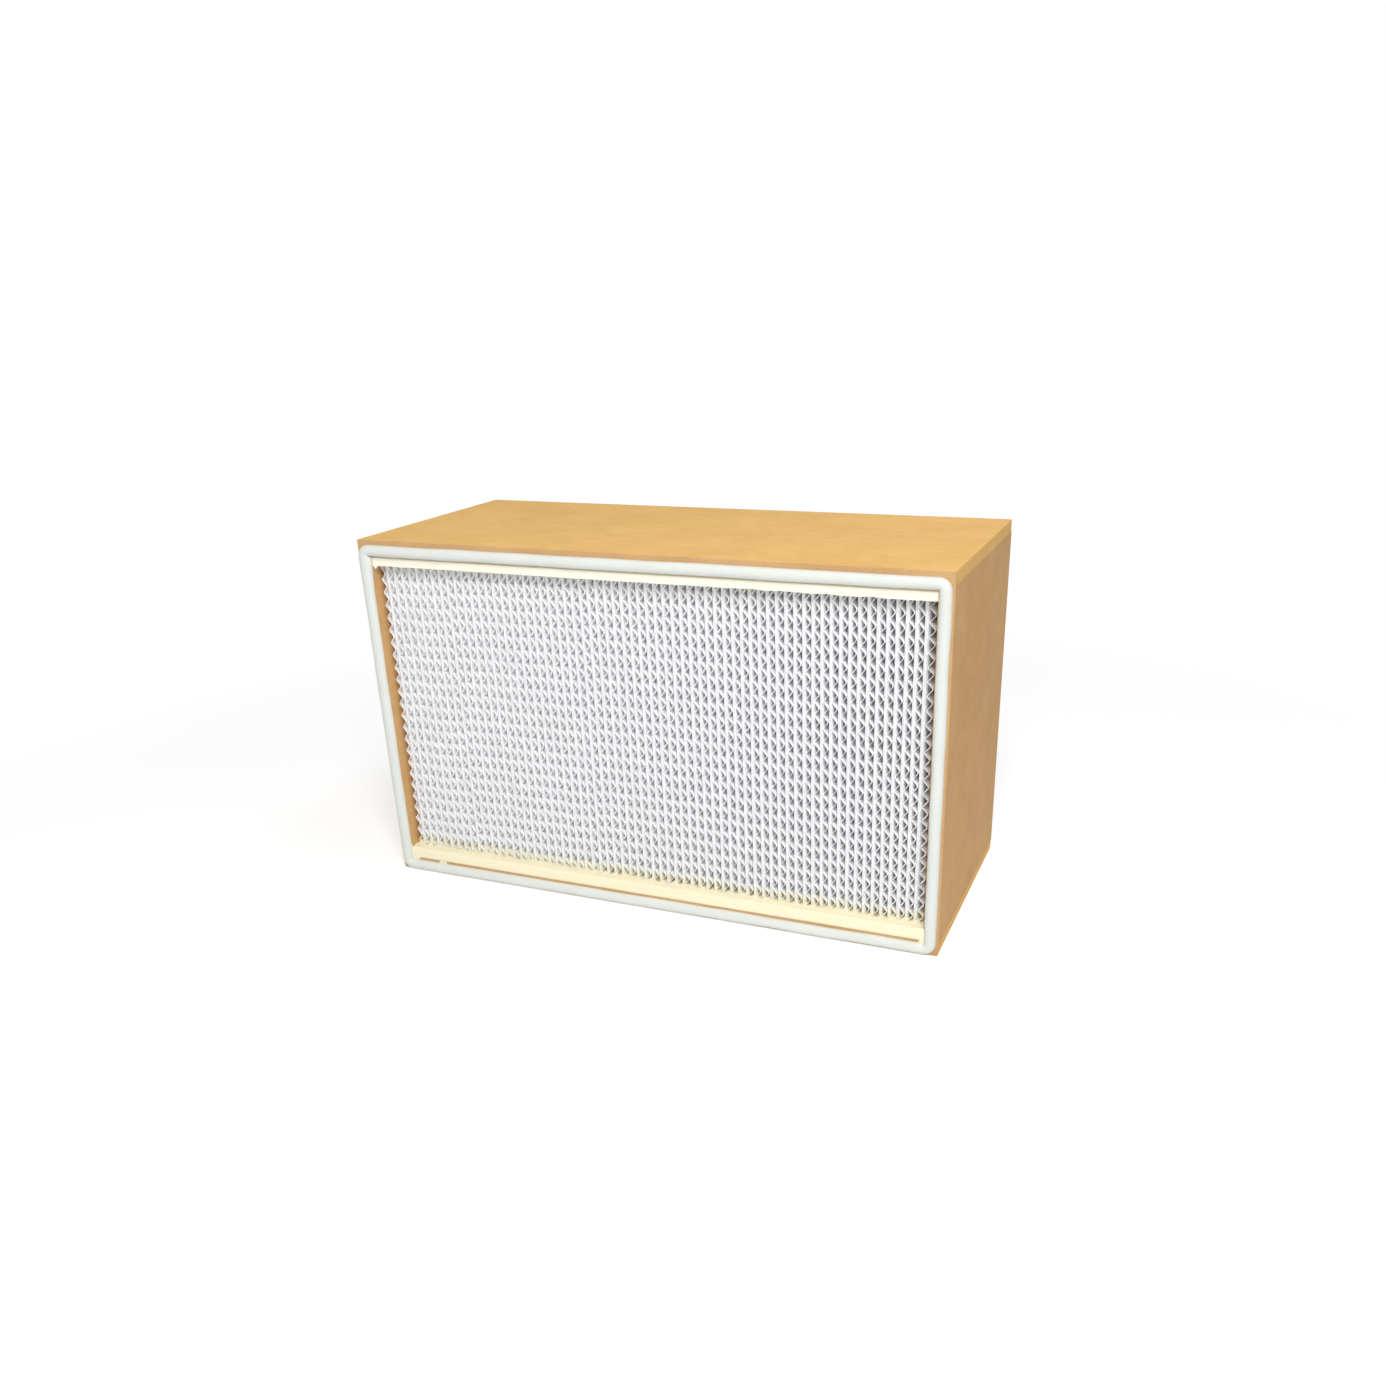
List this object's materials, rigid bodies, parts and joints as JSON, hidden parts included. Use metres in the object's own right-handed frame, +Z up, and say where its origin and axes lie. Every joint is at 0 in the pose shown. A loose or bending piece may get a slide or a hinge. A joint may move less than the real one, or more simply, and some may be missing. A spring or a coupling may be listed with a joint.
{
  "type": "hepa filter panel",
  "caption": "Deep-pleat air filter panel: folded white media with corrugated separators, potted into a fibreboard box frame with a half-round foam gasket round its front edge.",
  "frame": {"origin": "on the floor under the middle of the panel's overall box, gasket included", "axes": "+X across the front to the viewer's right, +Y into the panel from its gasket face to its rear, +Z up"},
  "size_m": [0.508, 0.2203, 0.305],
  "materials": {
    "fibreboard": "cut and sanded MDF",
    "gasket_foam": "soft skinned polyurethane foam",
    "glass_fibre_paper": "matt wet-laid paper",
    "separator_sheet": "coated corrugated paper",
    "potting": "cast polyurethane"
  },
  "bodies": {
    "root": {"top_board": "fibreboard", "bottom_board": "fibreboard", "left_board": "fibreboard", "right_board": "fibreboard", "gasket": "gasket_foam", "media_pack": "glass_fibre_paper", "front_separators": "separator_sheet", "rear_separators": "separator_sheet", "top_sealant": "potting", "bottom_sealant": "potting", "left_sealant": "potting", "right_sealant": "potting"}
  },
  "joints": []
}
